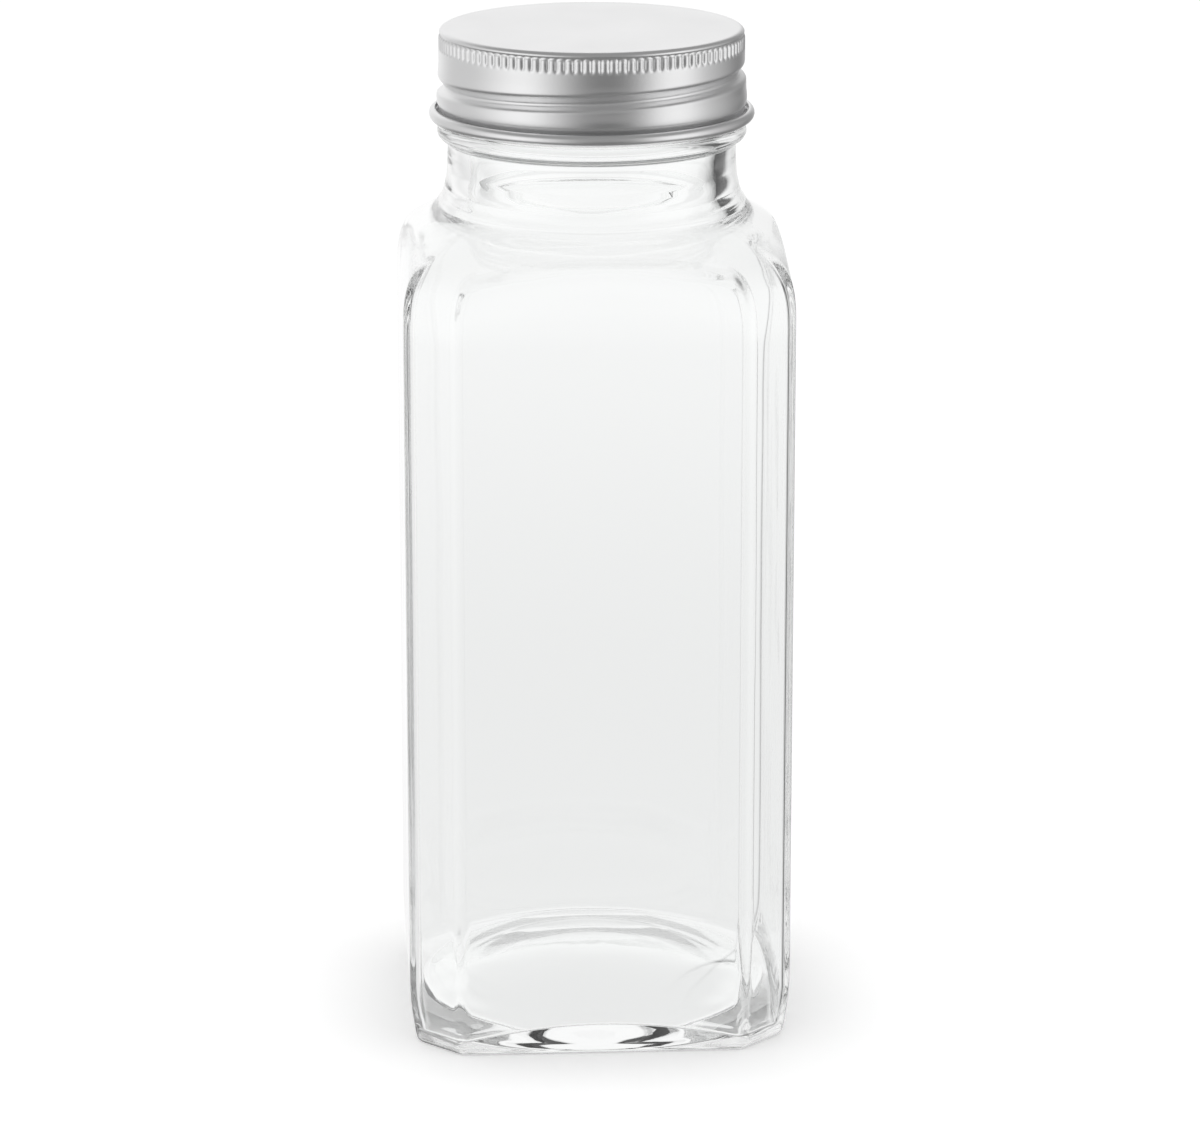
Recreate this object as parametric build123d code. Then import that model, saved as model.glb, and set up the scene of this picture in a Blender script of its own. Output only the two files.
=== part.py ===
from build123d import *

import os
from math import cos, radians, sin, sqrt, tan

# A tall square spice jar of clear glass with bevelled corners and a short round neck,
# closed by a screw lid that is rolled from thin aluminium sheet and lined with foam.
# Sizes are millimetres. +Z is up, and the origin is the middle of the base, on the
# table. The four wide sides face +X, +Y, -X and -Y.

# Outside of the jar's body
body_width = 55.0  # across two opposite wide sides
corner_bevel = 6.8  # how far each bevel reaches along a wide side
edge_radius = 2.2  # rounding where a wide side meets a bevel
heel_height = 10.0  # the sides lean in below this height
heel_inset = 1.1  # how far they lean in at the foot
foot_radius = 0.8  # rounding from the side to the face that it stands on
shoulder_height = 8.0  # from the upright sides to the round neck
shoulder_fullness = 1.9  # higher keeps the sides wide for longer
shoulder_sweep = 1.9  # higher gives a softer run into the neck

# Inside of the jar
wall = 1.5
inner_edge_radius = 2.0
inner_heel_height = 8.0  # the inner walls lean in below this height
inner_heel_inset = 2.0  # how far they lean in at the table's level
inner_shoulder_rise = 1.2  # the bore opens out from this far above the outer shoulder's top
inner_shoulder_fullness = 1.5  # higher keeps the inner walls wide for longer
inner_shoulder_sweep = 2.4  # higher gives a softer run into the bore
floor_rise = 8.4  # top of the domed floor, in the middle
floor_corner = 1.0  # height of that floor at the bevels
push_up_rise = 4.6  # the hollow under the base, in the middle
push_up_radius = 21.5  # where that hollow meets the face that the jar stands on

# Neck and mouth
jar_height = 143.25  # to the top of the rim
neck_height = 22.55  # from the top of the shoulder to the rim
finish_radius = 19.85  # the round wall inside the lid
neck_wall = 2.45  # thickness of that wall
neck_step = 0.65  # how far the neck below the ring stands out from it
rim_radius = 0.8  # rounding of the rim's edges
ring_stand = 2.15  # how far the glass ring under the lid stands out from it
ring_drop = 13.25  # from the rim to the middle of the ring
ring_edge_radius = 1.1  # half the ring's height, rounded

# Lid, rolled from sheet
lid_sheet = 0.3
lid_room = 1.55  # between the glass and the inside of the skirt, where the screw threads mesh
lid_ring_gap = 0.5  # from the glass ring to the lower edge of the closed lid
lid_edge_radius = 0.9  # outside rounding from the top to the skirt
curl_radius = 0.85  # outside of the rolled lower edge
curl_turn = 270.0  # degrees that the sheet turns in the rolled edge

# Foam liner in the lid
liner_thickness = 1.0
liner_clearance = 0.1  # from its edge to where the lid's rounded edge begins
rim_clearance = 0.05  # between the rim and the liner with the lid closed

# Steps that round shapes are made in, and the margin by which a cutter passes what it cuts
foot_steps = 1
heel_steps = 2
inner_heel_steps = 2
shoulder_steps = 4
inner_shoulder_steps = 4
rim_steps = 2
ring_steps = 4
lid_edge_steps = 2
curl_steps = 6
curl_inside_steps = 3
overrun = 1.0

# Places worked out from the sizes above
side_distance = body_width / 2
bevel_distance = (body_width - corner_bevel) / sqrt(2)
sides = 8
side_turn = 360 / sides
neck_radius = finish_radius + neck_step
bore_radius = finish_radius - neck_wall
ring_radius = finish_radius + ring_stand
lid_radius = finish_radius + lid_room + lid_sheet
shoulder_top = jar_height - neck_height
shoulder_bottom = shoulder_top - shoulder_height
ring_height = jar_height - ring_drop
liner_bottom = jar_height + rim_clearance
liner_radius = lid_radius - lid_edge_radius - liner_clearance
lid_top = liner_bottom + liner_thickness + lid_sheet
lid_bottom = ring_height + ring_edge_radius + lid_ring_gap


def toward_circle(point, share, radius):
    """Move a point along its own radius: share 1 leaves it, share 0 puts it on the circle."""
    reach = sqrt(point[0] ** 2 + point[1] ** 2)
    scale = (radius + (reach - radius) * share) / reach
    return point[0] * scale, point[1] * scale


def side_points(side, inset, rounding):
    """Start, middle and end of one straight side, and the middle of the rounding after it."""
    angle = radians(side_turn * side)
    half_turn = radians(side_turn / 2)
    distances = (side_distance - inset, bevel_distance - inset)
    here = distances[side % 2]
    following = distances[(side + 1) % 2]
    half_length = (following - here * cos(2 * half_turn)) / sin(2 * half_turn)
    flat = half_length - rounding * tan(half_turn)
    bulge = rounding * (1 / cos(half_turn) - 1)

    def point_along(reach):
        return (
            here * cos(angle) - reach * sin(angle),
            here * sin(angle) + reach * cos(angle),
        )

    corner = point_along(half_length)
    rounded = (
        corner[0] - bulge * cos(angle + half_turn),
        corner[1] - bulge * sin(angle + half_turn),
    )
    return point_along(-flat), point_along(0), point_along(flat), rounded


def outline(inset, rounding, height, share=1, radius=0):
    """Outline of the jar at one height, with its eight sides moved in by inset.

    share runs from 1, the bevelled square, to 0, the circle of that radius.
    """
    rows = []
    for side in range(sides):
        points = side_points(side, inset, rounding)
        rows.append([Vector(*toward_circle(point, share, radius), height) for point in points])
    edges = []
    for side, (start, middle, end, rounded) in enumerate(rows):
        following = rows[(side + 1) % sides][0]
        straight = Edge.make_line(start, end)
        edges.append(straight if share == 1 else Edge.make_three_point_arc(start, middle, end))
        edges.append(Edge.make_three_point_arc(end, rounded, following))
    return Wire(edges)


def upright(bottom, top, inset, rounding):
    """Straight part of the body between two heights."""
    return extrude(Face(outline(inset, rounding, bottom)), amount=top - bottom)


def shoulder(bottom, top, inset, rounding, radius, fullness, sweep, steps):
    """Run from the bevelled square at the bottom to the circle of the neck, upright at both."""
    rings = []
    for i in range(steps + 1):
        rise = sin(radians(90 * i / steps))
        share = (1 - rise**fullness) ** sweep
        rings.append(outline(inset, rounding, bottom + (top - bottom) * rise, share, radius))
    return Solid.make_loft(rings, ruled=True)


def disc(radius, bottom, top):
    align = (Align.CENTER, Align.CENTER, Align.MIN)
    return Pos(0, 0, bottom) * Cylinder(radius, top - bottom, align=align)


def arc_points(middle, radius, start, turn, steps):
    """Points along an arc in the section of a round part, as distances from the axis and heights."""
    angles = [radians(start + turn * i / steps) for i in range(steps + 1)]
    return [(middle[0] + radius * cos(a), middle[1] + radius * sin(a)) for a in angles]


def turned(points):
    """Solid of revolution of a closed section, from distances from the axis and heights."""
    corners = [(distance, 0, height) for distance, height in points]
    return revolve(make_face(Polyline(*corners, close=True)), Axis.Z)


def dome(top, reach, edge):
    """Ball whose top is on the axis, and which falls to the height of edge at that reach."""
    rise = top - edge
    radius = (reach**2 + rise**2) / (2 * rise)
    return Pos(0, 0, top - radius) * Sphere(radius)


def leaning(bottom, top, inset, lean, rounding, steps):
    """Sides that lean in below the top by a square law, by all of lean at the bottom."""
    rings = []
    for i in range(steps + 1):
        share = i / steps
        height = bottom + (top - bottom) * share
        rings.append(outline(inset + lean * (1 - share) ** 2, rounding, height))
    return Solid.make_loft(rings, ruled=True)


def foot():
    """Rounding off the face that the jar stands on, up to where its sides lean in."""
    rings = []
    for outward, height in arc_points((-foot_radius, foot_radius), foot_radius, -90, 90, foot_steps):
        rings.append(outline(heel_inset - outward, edge_radius, height))
    return Solid.make_loft(rings, ruled=True)


def neck():
    """Round neck, the ring below the lid, and the wall that the lid turns on."""
    ring_middle = (ring_radius - ring_edge_radius, ring_height)
    rim_middle = (finish_radius - rim_radius, jar_height - rim_radius)
    section = [(0, shoulder_top), (neck_radius, shoulder_top)]
    section += [(neck_radius, ring_height - ring_edge_radius)]
    section += arc_points(ring_middle, ring_edge_radius, -90, 180, ring_steps)
    section += [(finish_radius, ring_height + ring_edge_radius)]
    section += arc_points(rim_middle, rim_radius, 0, 90, rim_steps)
    section += [(0, jar_height)]
    return turned(section)


def mouth(bottom):
    """The round bore through the neck, which opens out over the rounding of the rim."""
    rim_middle = (bore_radius + rim_radius, jar_height - rim_radius)
    section = [(0, bottom), (bore_radius, bottom)]
    section += arc_points(rim_middle, rim_radius, 180, -90, rim_steps)
    section += [(rim_middle[0], jar_height + overrun), (0, jar_height + overrun)]
    return turned(section)


def cavity():
    """The hollow of the jar, from its domed floor up through the mouth."""
    top = shoulder_top + inner_shoulder_rise
    body = leaning(0, inner_heel_height, wall, inner_heel_inset, inner_edge_radius, inner_heel_steps)
    body += upright(inner_heel_height, shoulder_bottom, wall, inner_edge_radius)
    body -= dome(floor_rise, bevel_distance - wall, floor_corner)
    body += shoulder(
        shoulder_bottom, top, wall, inner_edge_radius, bore_radius, inner_shoulder_fullness,
        inner_shoulder_sweep, inner_shoulder_steps,
    )
    return body + mouth(top)


def jar_glass():
    """The jar: a bevelled square with a rounded shoulder, hollow, and pushed up under its base."""
    body = foot() + leaning(foot_radius, heel_height, 0, heel_inset, edge_radius, heel_steps)
    body += upright(heel_height, shoulder_bottom, 0, edge_radius)
    body += shoulder(
        shoulder_bottom, shoulder_top, 0, edge_radius, neck_radius, shoulder_fullness,
        shoulder_sweep, shoulder_steps,
    )
    return body + neck() - cavity() - dome(push_up_rise, push_up_radius, 0)


def sheet_side(depth, steps):
    """One side of the lid's sheet in section, that deep in it: top, rounded edge, skirt and curl."""
    edge_middle = (lid_radius - lid_edge_radius, lid_top - lid_edge_radius)
    curl_middle = (lid_radius - lid_sheet + curl_radius, lid_bottom + curl_radius)
    points = [(0, lid_top - depth)]
    points += arc_points(edge_middle, lid_edge_radius - depth, 90, -90, lid_edge_steps)
    points += arc_points(curl_middle, curl_radius - lid_sheet + depth, 180, curl_turn, steps)
    return points


def lid_shell():
    """Sheet metal lid: flat top, upright skirt and a lower edge curled outward into a bead."""
    return turned(sheet_side(0, curl_inside_steps) + sheet_side(lid_sheet, curl_steps)[::-1])


def lid_liner():
    """Round foam disc that seals on the rim."""
    return disc(liner_radius, liner_bottom, liner_bottom + liner_thickness)


parts = {
    "jar_glass": jar_glass,
    "lid_shell": lid_shell,
    "lid_liner": lid_liner,
}

os.makedirs("parts", exist_ok=True)
for name, make in parts.items():
    export_step(make(), f"parts/{name}.step")
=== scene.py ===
"""Square spice jar of clear glass with a screw lid rolled from aluminium sheet."""

import math

import bpy
import numpy as np
from bpy.props import FloatProperty, FloatVectorProperty, IntProperty, PointerProperty
from bpy.types import Operator, Panel, PropertyGroup
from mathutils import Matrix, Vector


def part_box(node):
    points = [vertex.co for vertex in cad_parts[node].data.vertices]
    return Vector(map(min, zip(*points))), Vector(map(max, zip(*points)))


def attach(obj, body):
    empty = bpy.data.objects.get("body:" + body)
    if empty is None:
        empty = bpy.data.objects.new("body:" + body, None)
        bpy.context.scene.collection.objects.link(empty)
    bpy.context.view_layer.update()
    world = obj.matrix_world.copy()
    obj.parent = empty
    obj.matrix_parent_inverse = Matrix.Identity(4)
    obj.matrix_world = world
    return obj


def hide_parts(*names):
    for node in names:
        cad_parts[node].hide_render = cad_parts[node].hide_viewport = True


bl_info = {
    "name": "Square Spice Jar",
    "version": (1, 0, 0),
    "blender": (4, 5, 0),
    "location": "3D View > Sidebar > Spice Jar",
    "description": "Builds the glass, the screw lid, its liner and a small studio round them",
    "category": "Add Mesh",
}

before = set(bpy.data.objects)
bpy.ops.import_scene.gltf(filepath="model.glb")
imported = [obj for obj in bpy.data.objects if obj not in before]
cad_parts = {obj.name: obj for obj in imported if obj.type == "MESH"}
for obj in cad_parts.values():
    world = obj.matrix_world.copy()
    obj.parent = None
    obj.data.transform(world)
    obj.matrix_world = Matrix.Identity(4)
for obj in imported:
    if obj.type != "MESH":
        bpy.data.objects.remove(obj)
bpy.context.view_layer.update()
jar_low, jar_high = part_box("jar_glass")
shell_low, shell_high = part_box("lid_shell")
liner_low, liner_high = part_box("lid_liner")

# Shares of the dome's height over which its rounding against the sides and the neck sets in.
EDGE_BLEND_SHARES = (0, 0.6)
NECK_BLEND_SHARES = (0.6, 0.9)

# Fillets above and below the ring of the neck, as a share of its edge radius.
RING_FILLET_SHARE = 0.6

# The ribs fade in over this share of the way down to them, and out over this share of their band.
RIB_START_SHARE = 0.5
RIB_END_SHARE = 0.2

# Shares of the skirt's height: the lower band flares between these, counted from the top, and its
# swell reaches this far up from its foot.
FLARE_SHARES = (0.4, 0.7)
BARREL_SHARE = 0.27

# The liner's rounded edge and the depth of its dent, as shares of its thickness.
LINER_EDGE_SHARE = 0.2
LINER_DENT_SHARE = 0.12


def length(label, note, default):
    """A size in metres that a user can change."""
    return FloatProperty(name=label, description=note, default=default, min=0.0, unit="LENGTH")


def share(label, note, default):
    """A number from 0 to 1 that a user can change."""
    return FloatProperty(
        name=label, description=note, default=default, min=0.0, max=1.0, subtype="FACTOR"
    )


def number(label, note, default):
    """A plain number that a user can change."""
    return FloatProperty(name=label, description=note, default=default, min=0.0)


def angle(label, note, degrees):
    """An angle that a user can change, given here in degrees."""
    default = math.radians(degrees)
    return FloatProperty(name=label, description=note, default=default, subtype="ANGLE")


def tint(label, note, default):
    """A colour that a user can change."""
    return FloatVectorProperty(
        name=label, description=note, default=default, size=3, min=0.0, max=1.0, subtype="COLOR"
    )


class GlassSettings(PropertyGroup):
    """Sizes and colour of the glass jar."""

    body_width: length("Body width", "Across two opposite wide sides", jar_high.x - jar_low.x)
    corner_bevel: length("Corner bevel", "Reach of each bevel along a wide side", 0.0068)
    edge_radius: length("Edge radius", "Rounding where a wide side meets a bevel", 0.0022)
    heel_height: length("Heel height", "The sides lean in below this height", 0.010)
    heel_inset: length("Heel inset", "How far the sides lean in at the foot", 0.0011)
    foot_radius: length("Foot radius", "Rounding from the sides to the standing face", 0.0008)
    shoulder_drop: length("Shoulder drop", "From the rim to the top of the shoulder", 0.02345)
    dome_rise: length("Dome rise", "Height of the dome that cuts the corners", 0.0150)
    dome_reach: length("Dome reach", "Radius of that dome at its foot", 0.0388)
    dome_margin: length("Dome margin", "How far its rounding runs up the neck", 0.0030)
    dome_fullness: number("Dome fullness", "Higher keeps the dome wide for longer", 2.9)
    dome_sweep: number("Dome sweep", "Higher gives a softer run into the neck", 1.37)
    edge_blend: length("Edge blend", "Rounding between the sides and the dome", 0.0036)
    neck_blend: length("Neck blend", "Rounding between the dome and the neck", 0.0024)
    inner_dome_drop: length("Inner dome drop", "The inner dome lies this far below", 0.0015)
    inner_neck_blend: length("Inner neck blend", "Rounding between that dome and the bore", 0.0036)
    neck_flare: length("Neck flare", "How far the neck widens down to the shoulder", 0.0006)
    wall: length("Wall", "Thickness of the glass in the sides", 0.0015)
    inner_edge_radius: length("Inner edge radius", "Rounding of the inner upright edges", 0.0020)
    inner_heel_height: length("Inner heel height", "The inner walls lean in below this height", 0.0080)
    inner_heel_inset: length("Inner heel inset", "How far they lean in at the table", 0.0020)
    inner_heel_radius: length("Inner heel radius", "Rounding between inner walls and floor", 0.0012)
    floor_rise: length("Floor rise", "Top of the domed floor", 0.0084)
    floor_corner: length("Floor corner", "Height of the floor at the bevels", 0.0010)
    push_up_rise: length("Push-up rise", "Height of the hollow under the base", 0.0046)
    push_up_radius: length("Push-up radius", "Radius of the hollow under the base", 0.0215)
    push_up_softness: length("Push-up softness", "Rounding where the hollow ends", 0.0012)
    jar_height: length("Jar height", "To the top of the rim", jar_high.z)
    finish_radius: length("Finish radius", "The round wall inside the lid", 0.01985)
    neck_wall: length("Neck wall", "Thickness of that wall", 0.00245)
    neck_step: length("Neck step", "How far the neck stands out below the ring", 0.00065)
    rim_radius: length("Rim radius", "Rounding of the rim", 0.0008)
    ring_stand: length("Ring stand", "How far the ring under the lid stands out", 0.00215)
    ring_drop: length("Ring drop", "From the rim to the middle of the ring", 0.01325)
    ring_edge_radius: length("Ring edge radius", "Half the height of the ring", 0.0011)
    thread_stand: length("Thread stand", "How far the glass thread stands out", 0.0011)
    thread_width: length("Thread width", "Width of the glass thread at its foot", 0.0026)
    thread_rise: length("Thread rise", "Glass thread above the lid's rolled thread", 0.0021)
    colour: tint("Glass colour", "Tint of the glass", (0.990, 0.995, 0.993))


class LidSettings(PropertyGroup):
    """Sizes and colour of the lid and its liner."""

    sheet: length("Sheet", "Thickness of the metal", 0.0003)
    curl_radius: length("Curl radius", "Outside radius of the rolled edge", 0.00085)
    edge_radius: length("Edge radius", "Rounding from the top to the skirt", 0.0009)
    rib_count: IntProperty(name="Ribs", description="Number of pressed ribs", default=110, min=12)
    rib_depth: length("Rib depth", "Depth of the gaps between the ribs", 0.00030)
    rib_top: length("Rib top", "From the top of the lid to the ribs", 0.00092)
    rib_bottom: length("Rib bottom", "From the top of the lid to the plain band", 0.0029)
    rib_half_width: length("Rib half width", "Half the width of one rib", 0.00052)
    groove_depth: length("Groove depth", "Depth of the rolled thread", 0.00100)
    groove_above: length("Groove above", "Reach of the groove above its middle", 0.0017)
    groove_below: length("Groove below", "Reach of the groove below its middle", 0.0010)
    groove_drop: length("Groove drop", "From the lid's top to the groove at its start", 0.00950)
    band_flare: length("Band flare", "How far the lower band stands out", 0.0002)
    band_barrel: length("Band barrel", "Swell in the middle of the lower band", 0.00012)
    thread_lead: length("Thread lead", "Rise of the thread in one turn", 0.004233)
    thread_turns: number("Thread turns", "Turns of the thread", 1.12)
    thread_start: angle("Thread start", "Where the thread begins", 78)
    thread_fade: angle("Thread fade", "Angle over which it runs out", 26)
    metal_colour: tint("Metal colour", "Colour of the aluminium", (0.89, 0.89, 0.893))
    foam_colour: tint("Foam colour", "Colour of the liner", (0.90, 0.90, 0.88))


class StudioSettings(PropertyGroup):
    """Camera, table and the tones of the room."""

    camera_side: FloatProperty(
        name="Camera side",
        description="Camera right of the jar's axis",
        default=0.00117,
        unit="LENGTH",
    )
    camera_distance: length("Camera distance", "Along the table from the jar's axis", 0.740)
    camera_height: length("Camera height", "Above the table", 0.2735)
    camera_turn: angle("Camera turn", "Camera left of the front", 3.43)
    camera_pitch: angle("Camera pitch", "Camera looks down by", 15.65)
    camera_focal: number("Focal length", "Focal length in mm", 158.73)
    table_width: length("Table width", "Width of the table", 6.0)
    table_front: length("Table front", "Reach of the table in front of the jar", 2.0)
    table_back: length("Table back", "Reach of the table behind the jar", 6.0)
    table_colour: tint("Table colour", "Colour of the table in soft light", (0.85, 0.85, 0.85))
    table_glow: share("Table glow", "White added where the camera sees the table", 0.70)
    # shade_glow and shade_reach set a painted contact shadow: ambient occlusion from the jar dims the
    # table's glow round its foot.
    shade_glow: share("Shade glow", "The same where something stands over the table", 0.32)
    shade_reach: length("Shade reach", "How far the jar dims the table round it", 0.018)
    table_behind: share("Table behind glass", "White of the table behind the jar", 0.88)
    table_reflected: share("Table in the metal", "White of the table in the metal", 0.22)
    table_through: share("Table through glass", "White of the table under the glass", 0.98)
    level: share("Level", "The room above the table is at least this bright", 0.29)
    overhead: share("Overhead", "Brightness of the room overhead", 0.30)
    overhead_through: share("Overhead through glass", "The same through the glass", 0.75)


def grid_mesh(name, grid, start_pole=None, end_pole=None):
    """Mesh from a grid of points whose rows close on themselves.

    Each quad joins a point, the next one along its row and the two above them. A pole is one
    point that closes the first or the last row with a fan of triangles.
    """
    rows, columns = grid.shape[:2]
    points = grid.reshape(-1, 3)
    index = np.arange(rows * columns).reshape(rows, columns)
    beside = np.roll(index, -1, axis=1)
    quads = np.stack([index[:-1], beside[:-1], beside[1:], index[1:]], axis=-1).reshape(-1, 4)
    faces = quads.tolist()
    if start_pole is not None:
        pole = np.full(columns, len(points))
        points = np.vstack([points, start_pole])
        faces += np.stack([pole, beside[0], index[0]], axis=-1).tolist()
    if end_pole is not None:
        pole = np.full(columns, len(points))
        points = np.vstack([points, end_pole])
        faces += np.stack([pole, index[-1], beside[-1]], axis=-1).tolist()
    mesh = bpy.data.meshes.new(name)
    mesh.from_pydata(points.tolist(), [], faces)
    mesh.shade_smooth()
    mesh.validate()
    return mesh


def place(name, mesh, material, body, node):
    """Put a finished mesh in the scene in the place of a node, riding on its body."""
    piece = bpy.data.objects.new(name, mesh)
    bpy.context.collection.objects.link(piece)
    mesh.materials.append(material)
    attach(piece, body)
    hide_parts(node)


def polar_grid(rows, angles):
    """Points from parts, each a block of distances to the axis and one of heights, in rows."""
    radius = np.vstack([row[0] for row in rows])
    height = np.vstack([row[1] for row in rows])
    radius, height, angles = np.broadcast_arrays(radius, height, angles)
    return np.stack([radius * np.cos(angles), radius * np.sin(angles), height], axis=-1)


def smooth_step(value, low, high):
    """0 below low, 1 above high, and a soft S between."""
    t = np.clip((value - low) / (high - low), 0, 1)
    return t * t * (3 - 2 * t)


def jar_angles():
    """Directions of the columns: sparse over the flats and dense over the rounded edges."""
    edge_start, edge_end, middle = (math.radians(degrees) for degrees in (28, 42, 45))
    flat = np.linspace(0, edge_start, 11)
    edge = np.linspace(edge_start, edge_end, 22)
    bevel = np.linspace(edge_end, middle, 3)
    half = np.concatenate([flat, edge[1:], bevel[1:]])
    wedge = np.concatenate([half, 2 * half[-1] - half[-2:0:-1]])
    turns = np.arange(4) * math.radians(90)
    return (turns[:, None] + wedge).ravel()


def outline_radius(angles, side, bevel, rounding):
    """Distance from the axis to a bevelled square with rounded edges, along each direction.

    The direction is folded into one eighth of the square. There a ray meets the wide side, the
    bevel, or the arc that touches both, whose middle is that of a square moved in by rounding.
    side and bevel may be columns, one value for each row.
    """
    quarter = math.radians(90)
    folded = np.abs((angles + quarter / 2) % quarter - quarter / 2)
    slant = math.radians(45)
    middle_x = side - rounding
    middle_y = (bevel - rounding - middle_x * math.cos(slant)) / math.sin(slant)
    on_side = side / np.cos(folded)
    on_bevel = bevel / np.cos(slant - folded)
    along = middle_x * np.cos(folded) + middle_y * np.sin(folded)
    across = middle_y * np.cos(folded) - middle_x * np.sin(folded)
    on_arc = along + np.sqrt(np.maximum(rounding**2 - across**2, 0))
    end_x = middle_x + rounding * math.cos(slant)
    end_y = middle_y + rounding * math.sin(slant)
    before = np.tan(folded) * side <= middle_y
    after = np.tan(folded) >= end_y / end_x
    return np.where(before, on_side, np.where(after, on_bevel, on_arc))


def helix_offset(angles, height, first, lid):
    """Height above the nearest turn of the thread, and how strong the thread is there, 0 to 1.

    Its middle climbs by the lead in each full turn, from the height first at its start angle,
    and it fades in and out over the fade angle at both ends.
    """
    full = 2 * math.pi
    fade = lid.thread_fade
    last = lid.thread_turns * full
    best = np.full(np.broadcast(angles, height).shape, 1.0)
    strength = np.zeros_like(best)
    for turn in range(-1, math.ceil(lid.thread_turns) + 1):
        run = (angles - lid.thread_start) % full + turn * full
        offset = height - (first + lid.thread_lead * run / full)
        here = smooth_step(run, 0, fade) * (1 - smooth_step(run, last - fade, last))
        nearer = (np.abs(offset) < np.abs(best)) & (here > 0)
        best = np.where(nearer, offset, best)
        strength = np.where(nearer, here, strength)
    return best, strength


def column(values):
    """A list of numbers as a column, so that it meets a row of directions in a grid."""
    return np.asarray(values, float)[:, None]


def arc_column(middle, radius, start, turn, count):
    """Distances from the axis and heights of points on an arc in the section, in degrees."""
    angles = np.radians(np.linspace(start, start + turn, count))
    return column(middle[0] + radius * np.cos(angles)), column(middle[1] + radius * np.sin(angles))


def dome_height(top, reach, edge, radius):
    """Height of a ball's top over the table: top on the axis, and edge at that reach."""
    rise = top - edge
    ball = (reach**2 + rise**2) / (2 * rise)
    return top - ball + np.sqrt(np.maximum(ball**2 - radius**2, 0))


def foot_rows(s, angles, outline):
    """Underside: the push-up, the flat ring that stands on the table, and the rounded foot.

    The push-up is the smooth maximum of a dome and the table. Outside it each direction runs
    straight to the foot's outline, which then rounds up while the sides lean in.
    """
    circle = s.push_up_radius + 2 * s.push_up_softness
    inner = column(circle * np.sin(np.radians(np.linspace(2, 90, 20))))
    dome = dome_height(s.push_up_rise, s.push_up_radius, 0, inner)
    lifted = (dome + np.sqrt(dome**2 + s.push_up_softness**2)) / 2
    settled = lifted * (1 - smooth_step(inner, s.push_up_radius, circle))
    rows = [(inner + 0 * angles, settled + 0 * angles)]
    foot = outline(s.heel_inset + s.foot_radius, s.edge_radius)
    run = column(np.linspace(0, 1, 5)[1:])
    rows.append((circle + (foot - circle) * run, 0 * run + 0 * angles))
    outward, height = arc_column((-s.foot_radius, s.foot_radius), s.foot_radius, -90, 90, 8)
    lean = s.heel_inset * (1 - height / s.heel_height) ** 2
    rows.append((outline(lean - outward, s.edge_radius)[1:], (height + 0 * angles)[1:]))
    return rows


def side_rows(s, angles, outline, top):
    """Outer sides: they lean in at the heel by a square law and stand upright above it."""
    height = column(np.linspace(s.foot_radius, s.heel_height, 10)[1:])
    lean = s.heel_inset * (1 - height / s.heel_height) ** 2
    rows = [(outline(lean, s.edge_radius), height + 0 * angles)]
    upright = column(np.linspace(s.heel_height, top, 9)[1:])
    rows.append((outline(0 * upright, s.edge_radius), upright + 0 * angles))
    return rows


def soft_least(a, b, softness):
    """The lesser of two numbers, rounded over where they are alike."""
    return (a + b - np.sqrt((a - b) ** 2 + softness**2)) / 2


def shoulder_rows(s, angles, square, neck_at, reach, top, neck_blend):
    """From the bevelled square, over a dome that cuts its corners, to the round neck.

    With h the share of the dome's height, the share of its reach beyond the neck is
    (1 - h^fullness)^sweep, which goes on inside the neck above its top. The skin is the lesser of
    square and dome, and then the greater of that and the neck, each rounded over.
    """
    last = 1 + s.dome_margin / s.dome_rise
    stretches = ((0, 0.5, 9), (0.5, 0.75, 9), (0.75, 1, 21), (1, last, 15))
    climb = column(np.concatenate([np.linspace(*stretch)[1:] for stretch in stretches]))
    height = top - s.dome_rise + s.dome_rise * climb
    neck = neck_at(height)
    left = 1 - climb**s.dome_fullness
    dome = neck + (reach - neck) * np.sign(left) * np.abs(left) ** s.dome_sweep
    body = soft_least(square, dome, s.edge_blend * smooth_step(climb, *EDGE_BLEND_SHARES))
    radius = -soft_least(-body, -neck, neck_blend * smooth_step(climb, *NECK_BLEND_SHARES))
    return radius, height + 0 * angles


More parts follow.
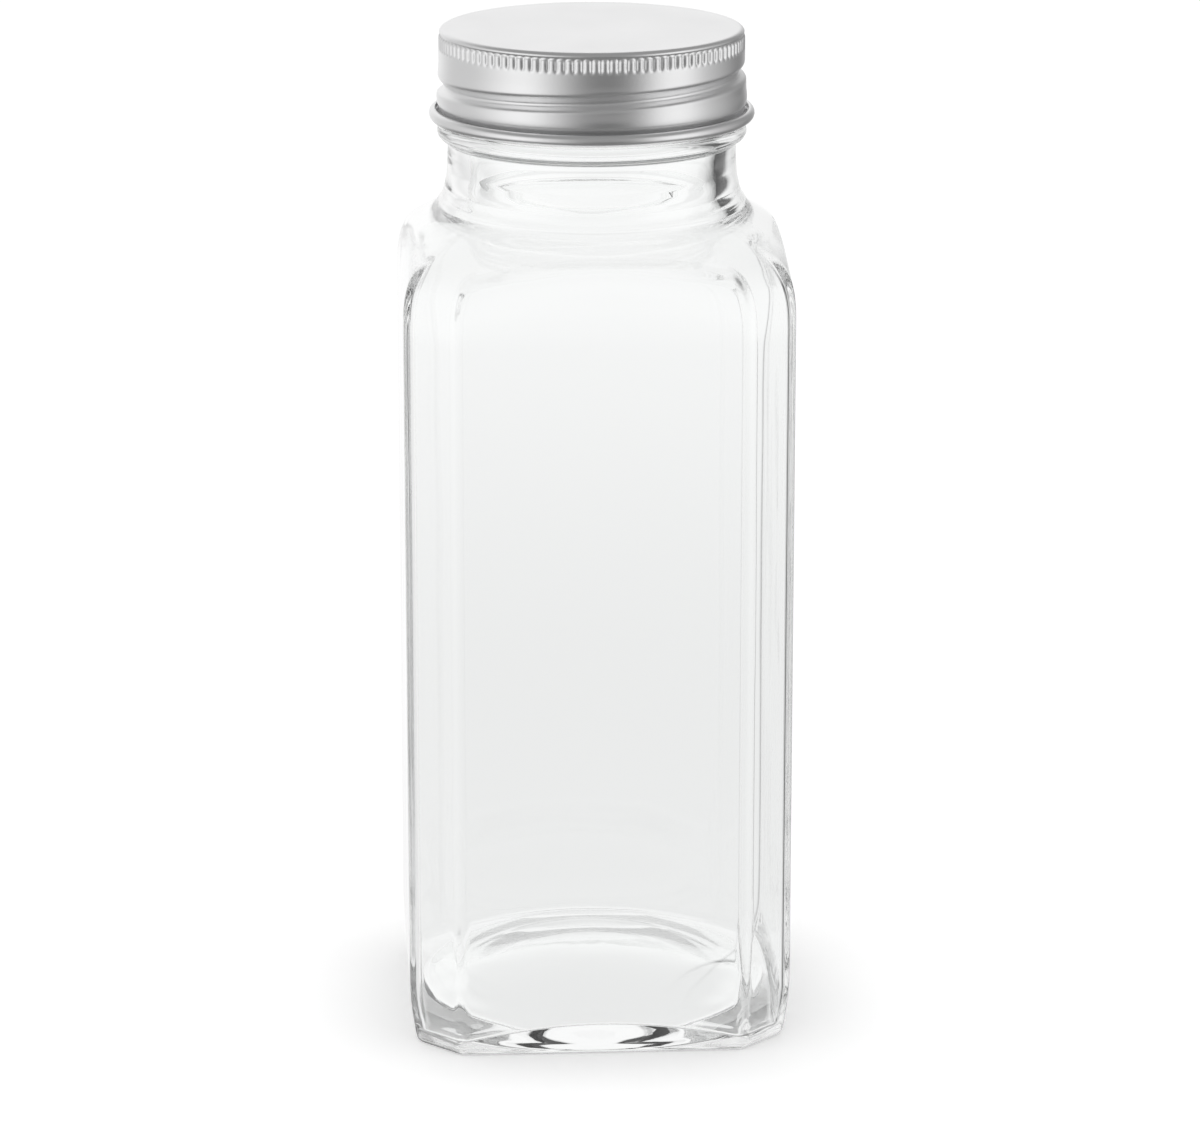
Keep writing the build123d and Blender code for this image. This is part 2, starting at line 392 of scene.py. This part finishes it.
def neck_rows(s, angles, lid, start, end, ring_height, neck_at):
    """Neck, ring, threaded wall and rim, outside and over into the mouth.

    The neck flares out towards the shoulder by a square law. The thread is a rounded ridge, a
    squared cosine across its width, along a helix.
    """
    neck_radius = s.finish_radius + s.neck_step
    ring_radius = s.finish_radius + s.ring_stand
    edge = s.ring_edge_radius
    flat = 0 * angles
    fillet = RING_FILLET_SHARE * edge
    height = column(np.linspace(start, ring_height - edge - fillet, 8)[1:-1])
    rows = [(neck_at(height) + flat, height + flat)]
    middle = (neck_radius + fillet, ring_height - edge - fillet)
    radius, height = arc_column(middle, fillet, 180, -90, 6)
    rows.append((radius + flat, height + flat))
    radius, height = arc_column((ring_radius - edge, ring_height), edge, -90, 180, 15)
    rows.append((radius + flat, height + flat))
    middle = (s.finish_radius + fillet, ring_height + edge + fillet)
    radius, height = arc_column(middle, fillet, 270, -90, 6)
    rows.append((radius + flat, height + flat))
    height = column(np.linspace(ring_height + edge + fillet, s.jar_height - s.rim_radius, 64)[1:])
    first = shell_high.z - lid.groove_drop + s.thread_rise
    offset, strength = helix_offset(angles, height, first, lid)
    across = np.clip(np.abs(offset) / (s.thread_width / 2), 0, 1)
    ridge = s.thread_stand * np.cos(across * math.pi / 2) ** 2 * strength
    rows.append((s.finish_radius + ridge, height + flat))
    middle = (s.finish_radius - s.rim_radius, s.jar_height - s.rim_radius)
    radius, height = arc_column(middle, s.rim_radius, 0, 90, 9)
    rows.append((radius[1:] + flat, height[1:] + flat))
    bore = s.finish_radius - s.neck_wall
    middle = (bore + s.rim_radius, s.jar_height - s.rim_radius)
    radius, height = arc_column(middle, s.rim_radius, 90, 90, 9)
    rows.append((radius + flat, height + flat))
    height = column(np.linspace(s.jar_height - s.rim_radius, end, 8)[1:])
    rows.append((bore + 0 * height + flat, height + flat))
    return rows


def floor_rows(s, angles, outline, bottom):
    """Inner walls, inner heel and domed floor.

    The walls lean in below the heel's height by a square law. The floor is a ball's top. Near a
    wall, at a distance d, the rounding lies above it by r - sqrt(r^2 - (r - d)^2), a quarter
    circle. Each direction then runs straight to the middle. The foot of the walls is found in
    rounds, because the lean and the floor's height there depend on each other.
    """
    r = s.inner_heel_radius
    reach = (s.body_width - s.corner_bevel) / math.sqrt(2) - s.wall

    def inset(height):
        return s.wall + s.inner_heel_inset * np.maximum(1 - height / s.inner_heel_height, 0) ** 2

    wall_foot = s.floor_corner + 0 * angles
    rounds = 4
    for _ in range(rounds):
        met = outline(inset(wall_foot), s.inner_edge_radius)
        wall_foot = dome_height(s.floor_rise, reach, s.floor_corner, met) + r
    upright = column(np.linspace(bottom, s.inner_heel_height, 8)[1:])
    run = column(np.linspace(0, 1, 10)[1:])
    leaning = s.inner_heel_height + (wall_foot - s.inner_heel_height) * run
    rows = [(outline(s.wall + 0 * upright, s.inner_edge_radius), upright + 0 * angles)]
    rows.append((outline(inset(leaning), s.inner_edge_radius), leaning))
    turn = column(np.radians(np.linspace(0, 90, 9)[1:]))
    away = r * (1 - np.cos(turn))
    radius = outline(inset(wall_foot) + away, s.inner_edge_radius)
    lift = r * (1 - np.sin(turn))
    rows.append((radius, dome_height(s.floor_rise, reach, s.floor_corner, radius) + lift))
    last = radius[-1:]
    shrink = column(np.linspace(1, 0, 13)[1:-1])
    radius = last * shrink
    rows.append((radius, dome_height(s.floor_rise, reach, s.floor_corner, radius)))
    return rows


def glass_surface(s, lid):
    """The whole skin of the jar, from the middle of its underside to the middle of its floor.

    One grid of directions and stations, where each station gives a distance and a height.
    """
    angles = jar_angles()
    side = s.body_width / 2
    bevel = (s.body_width - s.corner_bevel) / math.sqrt(2)

    def outline(inset, rounding):
        return outline_radius(angles, side - inset, bevel - inset, rounding)

    top = s.jar_height - s.shoulder_drop
    inner_top = top - s.inner_dome_drop
    ring_height = s.jar_height - s.ring_drop

    def neck_at(height):
        climb = np.clip((height - top) / (ring_height - s.ring_edge_radius - top), 0, 1)
        return s.finish_radius + s.neck_step + s.neck_flare * (1 - climb) ** 2

    def bore_at(height):
        return s.finish_radius - s.neck_wall + 0 * height

    rows = foot_rows(s, angles, outline)
    rows += side_rows(s, angles, outline, top - s.dome_rise)
    wide = outline(0, s.edge_radius)
    rows.append(shoulder_rows(s, angles, wide, neck_at, s.dome_reach, top, s.neck_blend))
    start, end = top + s.dome_margin, inner_top + s.dome_margin
    rows += neck_rows(s, angles, lid, start, end, ring_height, neck_at)
    wide = outline(s.wall, s.inner_edge_radius)
    reach = s.dome_reach - s.wall
    radius, height = shoulder_rows(s, angles, wide, bore_at, reach, inner_top, s.inner_neck_blend)
    rows.append((radius[-2::-1], height[-2::-1]))
    bottom = inner_top - s.dome_rise
    rows.append((wide[None, :], bottom + 0 * angles[None, :]))
    rows += floor_rows(s, angles, outline, bottom)
    return polar_grid(rows, angles)


def skirt_offset(s, angles, height):
    """How far the skirt's sheet is pressed in, negative, or stands out, at each point.

    The ribs are half round in section, with a round upper end, and everything beside them in
    their band is pressed in. The thread is a squared cosine across a helix, and is longer
    above its middle than below it. The lower band stands out a little, and a squared sine
    swells it in its middle.
    """
    top = shell_high.z
    down = top - height
    pitch = 2 * math.pi / s.rib_count
    skirt = skirt_radius(s)
    beside = ((angles / pitch + 0.5) % 1 - 0.5) * pitch * skirt
    above = np.maximum(s.rib_top + s.rib_half_width - down, 0)
    reach = np.hypot(beside, above) / s.rib_half_width
    standing = np.sqrt(np.maximum(1 - reach**2, 0))
    begun = smooth_step(down, RIB_START_SHARE * s.rib_top, s.rib_top)
    run_out = RIB_END_SHARE * (s.rib_bottom - s.rib_top)
    ended = smooth_step(down, s.rib_bottom - run_out, s.rib_bottom)
    ribs = -s.rib_depth * (1 - standing) * (begun * (1 - ended))
    offset, strength = helix_offset(angles, height, top - s.groove_drop, s)
    width = np.where(offset > 0, s.groove_above, s.groove_below)
    across = np.clip(np.abs(offset) / width, 0, 1)
    groove = -s.groove_depth * np.cos(across * math.pi / 2) ** 2 * strength
    low = shell_low.z + 2 * s.curl_radius
    tall = top - low
    flare = s.band_flare * smooth_step(down, FLARE_SHARES[0] * tall, FLARE_SHARES[1] * tall)
    across = np.clip((height - low) / (BARREL_SHARE * tall), 0, 1)
    flare = flare + s.band_barrel * np.sin(math.pi * across) ** 2
    flare = flare * smooth_step(height, low, low + s.curl_radius)
    return ribs + groove + flare


def skirt_radius(s):
    """Outside radius of the plain skirt, from the rolled edge that the frame gives."""
    return shell_high.x - 2 * s.curl_radius + s.sheet


def shell_surface(s):
    """Skin of the lid: inside from the middle of the top, round the curl, and back outside.

    Its section is straight lines and arcs turned round the axis, and the curl is three quarters
    of a circle. The offset of ribs, thread and lower band is added to the skirt's distance.
    """
    angles = np.linspace(0, 2 * math.pi, 8 * s.rib_count, endpoint=False)
    flat = 0 * angles
    skirt = skirt_radius(s)
    top = shell_high.z
    inside = skirt - s.sheet
    corner = (skirt - s.edge_radius, top - s.edge_radius)
    curl = (skirt - s.sheet + s.curl_radius, shell_low.z + s.curl_radius)
    rows = []
    radius = column(corner[0] * np.array([0.05, 0.5, 0.9]))
    rows.append((radius + flat, top - s.sheet + 0 * radius + flat))
    radius, height = arc_column(corner, s.edge_radius - s.sheet, 90, -90, 4)
    rows.append((radius + flat, height + flat))
    fine = np.linspace(corner[1], top - s.rib_bottom, 8)[1:]
    coarse = np.linspace(fine[-1], curl[1] + s.curl_radius, 14)[1:]
    height = column(np.concatenate([fine, coarse]))
    rows.append((inside + skirt_offset(s, angles, height), height + flat))
    radius, height = arc_column(curl, s.curl_radius, 180, 270, 15)
    rows.append((radius + flat, height + flat))
    radius, height = arc_column(curl, s.curl_radius - s.sheet, 90, -270, 8)
    rows.append((radius + flat, height + flat))
    coarse = np.linspace(curl[1] + s.curl_radius / 2, top - s.rib_bottom, 38)
    fine = np.linspace(coarse[-1], corner[1], 10)[1:]
    height = column(np.concatenate([coarse, fine]))
    rows.append((skirt + skirt_offset(s, angles, height), height + flat))
    radius, height = arc_column(corner, s.edge_radius, 0, 90, 8)
    rows.append((radius[1:] + skirt_offset(s, angles, height)[1:], height[1:] + flat))
    radius = column(corner[0] * np.array([0.98, 0.7, 0.35, 0.05]))
    rows.append((radius + flat, top + 0 * radius + flat))
    return polar_grid(rows, angles)


def liner_surface(glass):
    """Foam disc with rounded edges, pressed in a little where it has sat on the rim.

    The dent is a squared cosine across the width of the rim.
    """
    angles = np.linspace(0, 2 * math.pi, 128, endpoint=False)
    flat = 0 * angles
    thick = liner_high.z - liner_low.z
    edge = LINER_EDGE_SHARE * thick
    outer = liner_high.x
    reach = np.concatenate([np.linspace(0.02, 0.8, 8), np.linspace(0.82, 1, 24)])
    radius = column(reach * (outer - edge))
    rim = glass.finish_radius - glass.neck_wall / 2
    across = np.clip(np.abs(radius - rim) / (glass.neck_wall / 2), 0, 1)
    dent = LINER_DENT_SHARE * thick * np.cos(across * math.pi / 2) ** 2
    rows = [(radius + flat, liner_low.z + dent + flat)]
    for middle_height, start in ((liner_low.z + edge, -90), (liner_high.z - edge, 0)):
        ring, height = arc_column((outer - edge, middle_height), edge, start, 90, 6)
        rows.append((ring + flat, height + flat))
    radius = column(np.linspace(0.95, 0.02, 8) * (outer - edge))
    rows.append((radius + flat, liner_high.z + 0 * radius + flat))
    return polar_grid(rows, angles)


def node_material(name):
    """New material with its shader and output, ready for more nodes."""
    material = bpy.data.materials.new(name)
    material.use_nodes = True
    tree = material.node_tree
    return material, tree, tree.nodes["Principled BSDF"]


def add_node(tree, kind, **inputs):
    """A node with values set on its sockets by name, spaces written as underscores."""
    node = tree.nodes.new(kind)
    for key, value in inputs.items():
        node.inputs[key.replace("_", " ")].default_value = value
    return node


def grain_group():
    """Fine grain on the piece's own coordinates: a mask from 0 to 1, and a height for bumps."""
    group = bpy.data.node_groups.new("Fine grain", "ShaderNodeTree")
    for socket, value in (("Scale", 1000.0), ("Patch Scale", 60.0), ("Contrast", 0.5)):
        made = group.interface.new_socket(socket, in_out="INPUT", socket_type="NodeSocketFloat")
        made.default_value = value
    made = group.interface.new_socket("Stretch", in_out="INPUT", socket_type="NodeSocketVector")
    made.default_value = (1.0, 1.0, 1.0)
    for socket in ("Mask", "Height"):
        group.interface.new_socket(socket, in_out="OUTPUT", socket_type="NodeSocketFloat")
    start = group.nodes.new("NodeGroupInput")
    end = group.nodes.new("NodeGroupOutput")
    place_on = group.nodes.new("ShaderNodeTexCoord")
    stretched = group.nodes.new("ShaderNodeMapping")
    fine = add_node(group, "ShaderNodeTexNoise", Detail=3.0, Roughness=0.6)
    patch = add_node(group, "ShaderNodeTexNoise", Detail=2.0, Roughness=0.5)
    mix = group.nodes.new("ShaderNodeMix")
    link = group.links.new
    link(place_on.outputs["Object"], stretched.inputs["Vector"])
    link(start.outputs["Stretch"], stretched.inputs["Scale"])
    link(stretched.outputs["Vector"], fine.inputs["Vector"])
    link(place_on.outputs["Object"], patch.inputs["Vector"])
    link(start.outputs["Scale"], fine.inputs["Scale"])
    link(start.outputs["Patch Scale"], patch.inputs["Scale"])
    link(start.outputs["Contrast"], mix.inputs["Factor"])
    link(patch.outputs["Fac"], mix.inputs["A"])
    link(fine.outputs["Fac"], mix.inputs["B"])
    link(mix.outputs["Result"], end.inputs["Mask"])
    link(fine.outputs["Fac"], end.inputs["Height"])
    return group


def place_grain(tree, scale, patch_scale, contrast, stretch=(1, 1, 1)):
    """The shared grain group in a material, built on its first use.

    stretch multiplies the scale along each axis, so a high last number gives level lines.
    """
    node = tree.nodes.new("ShaderNodeGroup")
    node.node_tree = bpy.data.node_groups.get("Fine grain") or grain_group()
    node.inputs["Scale"].default_value = scale
    node.inputs["Patch Scale"].default_value = patch_scale
    node.inputs["Contrast"].default_value = contrast
    node.inputs["Stretch"].default_value = stretch
    return node


def range_node(tree, source, low, high):
    """Map a mask from 0 to 1 onto the range from low to high."""
    node = add_node(tree, "ShaderNodeMapRange", To_Min=low, To_Max=high)
    tree.links.new(source, node.inputs["Value"])
    return node.outputs["Result"]


def bump_node(tree, height, strength, distance, normal=None):
    """Bump from a height, with its reach in metres, on top of another bump if one is given."""
    node = add_node(tree, "ShaderNodeBump", Strength=strength, Distance=distance)
    tree.links.new(height, node.inputs["Height"])
    if normal is not None:
        tree.links.new(normal, node.inputs["Normal"])
    return node.outputs["Normal"]


def glass_material(colour):
    """Clear moulded glass with slow ripples, stretched upright as the glass flowed."""
    material, tree, shader = node_material("Clear glass")
    shader.inputs["Base Color"].default_value = (*colour, 1)
    shader.inputs["Transmission Weight"].default_value = 1.0
    shader.inputs["Roughness"].default_value = 0.0
    shader.inputs["IOR"].default_value = 1.5
    place_on = tree.nodes.new("ShaderNodeTexCoord")
    stretch = add_node(tree, "ShaderNodeMapping", Scale=(1.0, 1.0, 0.35))
    ripple = add_node(tree, "ShaderNodeTexNoise", Scale=90.0, Detail=1.0, Roughness=0.4)
    tree.links.new(place_on.outputs["Object"], stretch.inputs["Vector"])
    tree.links.new(stretch.outputs["Vector"], ripple.inputs["Vector"])
    normal = bump_node(tree, ripple.outputs["Fac"], strength=0.25, distance=0.0004)
    tree.links.new(normal, shader.inputs["Normal"])
    return material


def metal_material(colour):
    """Satin aluminium sheet: fine grain with faint cloudy patches, over level rolled lines."""
    material, tree, shader = node_material("Satin aluminium")
    shader.inputs["Metallic"].default_value = 1.0
    shader.inputs["Base Color"].default_value = (*colour, 1)
    grain = place_grain(tree, scale=2600.0, patch_scale=90.0, contrast=0.35)
    lines = place_grain(tree, scale=420.0, patch_scale=60.0, contrast=0.6, stretch=(0.3, 0.3, 14.0))
    rough = range_node(tree, grain.outputs["Mask"], low=0.24, high=0.38)
    tree.links.new(rough, shader.inputs["Roughness"])
    rolled = bump_node(tree, lines.outputs["Height"], strength=0.08, distance=0.00003)
    normal = bump_node(tree, grain.outputs["Height"], strength=0.28, distance=0.00003, normal=rolled)
    tree.links.new(normal, shader.inputs["Normal"])
    return material


def foam_material(colour):
    """White closed-cell foam: matt, with small round cells."""
    material, tree, shader = node_material("White foam")
    shader.inputs["Roughness"].default_value = 0.85
    shader.inputs["Specular IOR Level"].default_value = 0.3
    grain = place_grain(tree, scale=900.0, patch_scale=140.0, contrast=0.5)
    dimmest = 0.9
    shade = tree.nodes.new("ShaderNodeMix")
    shade.data_type = "RGBA"
    shade.inputs["A"].default_value = (*[dimmest * part for part in colour], 1)
    shade.inputs["B"].default_value = (*colour, 1)
    tree.links.new(grain.outputs["Mask"], shade.inputs["Factor"])
    tree.links.new(shade.outputs["Result"], shader.inputs["Base Color"])
    place_on = tree.nodes.new("ShaderNodeTexCoord")
    cells = add_node(tree, "ShaderNodeTexVoronoi", Scale=2200.0)
    tree.links.new(place_on.outputs["Object"], cells.inputs["Vector"])
    normal = bump_node(tree, cells.outputs["Distance"], strength=0.4, distance=0.0001)
    tree.links.new(normal, shader.inputs["Normal"])
    return material


class SPICEJAR_OT_glass(Operator):
    """Builds the glass jar with its thread."""

    bl_idname = "spicejar.glass"
    bl_label = "Glass Jar"

    def execute(self, context):
        glass = context.scene.spicejar_glass
        grid = glass_surface(glass, context.scene.spicejar_lid)
        mesh = grid_mesh("Glass_Jar", grid, (0, 0, grid[0, 0, 2]), (0, 0, glass.floor_rise))
        place("Glass_Jar", mesh, glass_material(glass.colour), "jar", "jar_glass")
        return {"FINISHED"}


class SPICEJAR_OT_lid(Operator):
    """Builds the rolled metal lid with its ribs and thread."""

    bl_idname = "spicejar.lid"
    bl_label = "Screw Lid"

    def execute(self, context):
        lid = context.scene.spicejar_lid
        top = shell_high.z
        mesh = grid_mesh("Screw_Lid", shell_surface(lid), (0, 0, top - lid.sheet), (0, 0, top))
        metal = metal_material(lid.metal_colour)
        place("Screw_Lid", mesh, metal, "lid", "lid_shell")
        return {"FINISHED"}


class SPICEJAR_OT_liner(Operator):
    """Builds the foam liner of the lid."""

    bl_idname = "spicejar.liner"
    bl_label = "Lid Liner"

    def execute(self, context):
        lid = context.scene.spicejar_lid
        grid = liner_surface(context.scene.spicejar_glass)
        mesh = grid_mesh("Lid_Liner", grid, (0, 0, liner_low.z), (0, 0, liner_high.z))
        place("Lid_Liner", mesh, foam_material(lid.foam_colour), "liner", "lid_liner")
        return {"FINISHED"}


def table_surface(s):
    """Flat table top: a square grid of points at height 0, wide enough to fill the picture."""
    points = 9
    across = np.linspace(-s.table_width / 2, s.table_width / 2, points)
    deep = np.linspace(-s.table_front, s.table_back, points)
    x, y = np.meshgrid(across, deep)
    grid = np.stack([x, y, np.zeros_like(x)], axis=-1)
    index = np.arange(x.size).reshape(x.shape)
    quads = np.stack([index[:-1, :-1], index[:-1, 1:], index[1:, 1:], index[1:, :-1]], axis=-1)
    mesh = bpy.data.meshes.new("Table_Top")
    mesh.from_pydata(grid.reshape(-1, 3).tolist(), [], quads.reshape(-1, 4).tolist())
    return mesh


def table_material(s):
    """White table that keeps a soft shadow, with a painted contact shadow where its glow is dimmed
    close to the jar.

    Rays from metal and glass pass through it to the room's own tones, so that those show there.
    """
    material, tree, shader = node_material("White table")
    shader.inputs["Base Color"].default_value = (*s.table_colour, 1)
    shader.inputs["Roughness"].default_value = 0.9
    shader.inputs["Specular IOR Level"].default_value = 0.0
    shader.inputs["Emission Color"].default_value = (1, 1, 1, 1)
    ray = tree.nodes.new("ShaderNodeLightPath")
    link = tree.links.new
    # Painted contact shadow: ambient occlusion from the jar dims the glow that the camera sees, down
    # to shade_glow.
    painted_shadow_ao = add_node(tree, "ShaderNodeAmbientOcclusion", Distance=s.shade_reach)
    glow = range_node(tree, painted_shadow_ao.outputs["AO"], s.shade_glow, s.table_glow)
    seen = add_node(tree, "ShaderNodeMath")
    seen.operation = "MULTIPLY"
    link(ray.outputs["Is Camera Ray"], seen.inputs[0])
    link(glow, seen.inputs[1])
    link(seen.outputs["Value"], shader.inputs["Emission Strength"])
    clear = tree.nodes.new("ShaderNodeBsdfTransparent")
    over = tree.nodes.new("ShaderNodeMixShader")
    link(ray.outputs["Is Glossy Ray"], over.inputs["Fac"])
    link(shader.outputs["BSDF"], over.inputs[1])
    link(clear.outputs["BSDF"], over.inputs[2])
    link(over.outputs["Shader"], tree.nodes["Material Output"].inputs["Surface"])
    return material


# The room at table height, in bands round the jar: where a band begins and ends, in degrees, and
# how bright it is. 0 is towards the camera and 90 is to its right. The brightness runs straight
# from one band to the next.
ROOM_BANDS = {
    "white wall behind, its left end": (-180, -160, 1.00),
    "left wall": (-130, -95, 0.65),
    "left window": (-60, -45, 1.05),
    "dark side behind the camera": (0, 25, 0.12),
    "right window": (55, 75, 1.05),
    "right wall": (95, 100, 0.55),
    "dark corner": (140, 150, 0.20),
    "white wall behind, its right end": (175, 180, 1.00),
}

# The same for what shows through the glass: pale all round, with a dark edge behind to the right.
THROUGH_BANDS = {
    "white wall behind, its left end": (-180, -158, 1.00),
    "join of the walls": (-146, -146, 0.86),
    "left wall": (-130, -90, 0.95),
    "left window": (-40, -40, 0.97),
    "side of the camera": (0, 0, 0.95),
    "right window": (40, 40, 0.97),
    "right wall": (90, 90, 0.95),
    "shade beside the edge": (116, 116, 0.70),
    "dark edge": (127, 148, 0.08),
    "light beside the edge": (156, 156, 0.70),
    "white wall behind, its right end": (163, 180, 1.00),
}

# Between these heights on the ball of directions, one tone turns into another.
LEVEL_SPAN = (-0.16, -0.11)
METAL_TABLE_SPAN = (-0.28, -0.60)
BEHIND_SPAN = (-0.19, -0.30)
GLASS_TABLE_SPAN = (-0.5, -0.85)
OVERHEAD_SPAN = (0.42, 0.8)


def room_tones(tree, vector, bands, turn):
    """Ramp round the room: the radial gradient is the share of a turn from the left."""
    tones = [(edge, tone) for start, end, tone in bands.values() for edge in (start, end)]
    gradient = tree.nodes.new("ShaderNodeTexGradient")
    gradient.gradient_type = "RADIAL"
    ramp = tree.nodes.new("ShaderNodeValToRGB")
    tree.links.new(vector, gradient.inputs["Vector"])
    tree.links.new(gradient.outputs["Fac"], ramp.inputs["Fac"])
    stops = sorted({((azimuth - turn) / 360 + 0.25) % 1 for azimuth, _ in tones[1:]})
    directions = np.array([azimuth for azimuth, _ in tones], float)
    values = np.array([value for _, value in tones])
    margin = 0.004
    stops = [0.0] + [stop for stop in stops if margin < stop < 1 - margin] + [1.0]
    elements = ramp.color_ramp.elements
    while len(elements) < len(stops):
        elements.new(0.5)
    for element, stop in zip(elements, stops):
        azimuth = ((stop - 0.25) * 360 + turn + 180) % 360 - 180
        value = float(np.interp(azimuth, directions, values))
        element.position = stop
        element.color = (value, value, value, 1)
    return ramp.outputs["Color"]


def fade_tone(tree, height, span, colour, value, blend="MIX"):
    """Blend a grey into a colour, more as the height runs over the span."""
    reach = add_node(tree, "ShaderNodeMapRange", From_Min=span[0], From_Max=span[1])
    reach.interpolation_type = "SMOOTHSTEP"
    mix = tree.nodes.new("ShaderNodeMix")
    mix.data_type = "RGBA"
    mix.blend_type = blend
    mix.inputs["B"].default_value = (value, value, value, 1)
    tree.links.new(height, reach.inputs["Value"])
    tree.links.new(reach.outputs["Result"], mix.inputs["Factor"])
    tree.links.new(colour, mix.inputs["A"])
    return mix.outputs["Result"]


def studio_world(scene, s):
    """Room round the jar: its tones go round it at table height, dimmer overhead.

    Rays from the metal and the table see the room, and rays out of the glass see paler tones.
    """
    world = bpy.data.worlds.new("Studio")
    scene.world = world
    world.use_nodes = True
    tree = world.node_tree
    background = tree.nodes["Background"]
    place_on = tree.nodes.new("ShaderNodeTexCoord")
    split = tree.nodes.new("ShaderNodeSeparateXYZ")
    link = tree.links.new
    link(place_on.outputs["Generated"], split.inputs["Vector"])
    turn = math.degrees(s.camera_turn)
    room = room_tones(tree, place_on.outputs["Generated"], ROOM_BANDS, turn)
    through = room_tones(tree, place_on.outputs["Generated"], THROUGH_BANDS, turn)
    height = split.outputs["Z"]
    room = fade_tone(tree, height, LEVEL_SPAN, room, s.level, "LIGHTEN")
    room = fade_tone(tree, height, METAL_TABLE_SPAN, room, s.table_reflected)
    room = fade_tone(tree, height, OVERHEAD_SPAN, room, s.overhead)
    through = fade_tone(tree, height, BEHIND_SPAN, through, s.table_behind, "MULTIPLY")
    through = fade_tone(tree, height, GLASS_TABLE_SPAN, through, s.table_through)
    through = fade_tone(tree, height, OVERHEAD_SPAN, through, s.overhead_through)
    ray = tree.nodes.new("ShaderNodeLightPath")
    tone = tree.nodes.new("ShaderNodeMix")
    tone.data_type = "RGBA"
    link(ray.outputs["Is Transmission Ray"], tone.inputs["Factor"])
    link(room, tone.inputs["A"])
    link(through, tone.inputs["B"])
    seen = tree.nodes.new("ShaderNodeMix")
    seen.data_type = "RGBA"
    seen.inputs["B"].default_value = (1, 1, 1, 1)
    link(ray.outputs["Is Camera Ray"], seen.inputs["Factor"])
    link(tone.outputs["Result"], seen.inputs["A"])
    link(seen.outputs["Result"], background.inputs["Color"])
    background.inputs["Strength"].default_value = 1.0


def photo_camera(scene, s):
    """Camera at the photograph's place: turned round the jar's axis, level, then looking down."""
    data = bpy.data.cameras.new("Photo")
    camera = bpy.data.objects.new("Photo", data)
    scene.collection.objects.link(camera)
    cos, sin = math.cos(s.camera_turn), math.sin(s.camera_turn)
    camera.location = (
        s.camera_side * cos - s.camera_distance * sin,
        -s.camera_side * sin - s.camera_distance * cos,
        s.camera_height,
    )
    camera.rotation_euler = (math.radians(90) - s.camera_pitch, 0, -s.camera_turn)
    data.sensor_width = 36.0
    data.lens = s.camera_focal
    data.clip_start, data.clip_end = 0.01, 20.0
    scene.camera = camera


class SPICEJAR_OT_studio(Operator):
    """Sets up the table, the room that lights the jar, and the camera."""

    bl_idname = "spicejar.studio"
    bl_label = "Studio"

    def execute(self, context):
        scene = context.scene
        studio = scene.spicejar_studio
        table = bpy.data.objects.new("Table_Top", table_surface(studio))
        scene.collection.objects.link(table)
        table.data.materials.append(table_material(studio))
        studio_world(scene, studio)
        photo_camera(scene, studio)
        scene.view_settings.view_transform = "Standard"
        scene.cycles.max_bounces = 64
        scene.cycles.glossy_bounces = 48
        scene.cycles.transmission_bounces = 48
        return {"FINISHED"}


class SPICEJAR_PT_panel(Panel):
    """Lists the pieces of the jar and their sizes."""

    bl_idname = "SPICEJAR_PT_panel"
    bl_label = "Spice Jar"
    bl_space_type = "VIEW_3D"
    bl_region_type = "UI"
    bl_category = "Spice Jar"

    def draw(self, context):
        for operator in STEPS:
            self.layout.operator(operator.bl_idname)
        for name, group in SETTINGS:
            for key in group.__annotations__:
                self.layout.prop(getattr(context.scene, name), key)


STEPS = (SPICEJAR_OT_glass, SPICEJAR_OT_lid, SPICEJAR_OT_liner, SPICEJAR_OT_studio)
SETTINGS = (
    ("spicejar_glass", GlassSettings),
    ("spicejar_lid", LidSettings),
    ("spicejar_studio", StudioSettings),
)


def register():
    """Add the settings, the operators and the panel to Blender."""
    for name, group in SETTINGS:
        bpy.utils.register_class(group)
        setattr(bpy.types.Scene, name, PointerProperty(type=group))
    for operator in STEPS:
        bpy.utils.register_class(operator)
    bpy.utils.register_class(SPICEJAR_PT_panel)


def unregister():
    """Take them away again."""
    bpy.utils.unregister_class(SPICEJAR_PT_panel)
    for operator in reversed(STEPS):
        bpy.utils.unregister_class(operator)
    for name, group in reversed(SETTINGS):
        delattr(bpy.types.Scene, name)
        bpy.utils.unregister_class(group)


def main():
    """Build every piece in order."""
    register()
    bpy.ops.spicejar.glass()
    bpy.ops.spicejar.lid()
    bpy.ops.spicejar.liner()
    bpy.ops.spicejar.studio()


if __name__ == "__main__":
    main()
